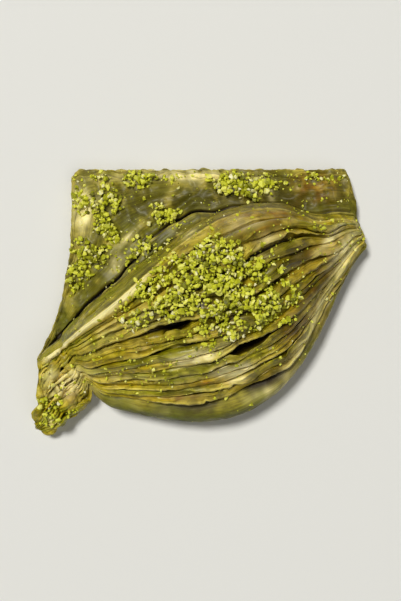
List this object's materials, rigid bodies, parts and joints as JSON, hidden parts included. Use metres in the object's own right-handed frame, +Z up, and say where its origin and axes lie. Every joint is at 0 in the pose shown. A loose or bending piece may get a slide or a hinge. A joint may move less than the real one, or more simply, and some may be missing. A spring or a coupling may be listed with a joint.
{
  "type": "baklava piece",
  "caption": "Rhomboid mussel-folded baklava pastry with a pleated phyllo dome, a pinched knob, a fanned end and a thin flap, topped with ground pistachio.",
  "frame": {"origin": "middle of the footprint's box, on the surface that the pastry stands on", "axes": "+Z up; +X along the straight cut edge of the flap, towards the fanned end; +Y from the rolled rim towards the flap; the dome's ridge runs from the knob at low X and low Y to the fan at high X"},
  "size_m": [0.0714, 0.0566, 0.0267],
  "materials": {
    "phyllo": "syrup-soaked baked phyllo, olive yellow over green pistachio filling, golden brown at the gathered ends, glossy on its folds",
    "pistachio": "finely ground pistachio crumbs, bright yellow green, dull"
  },
  "bodies": {
    "root": {"baklava_piece": "phyllo"}
  },
  "joints": []
}
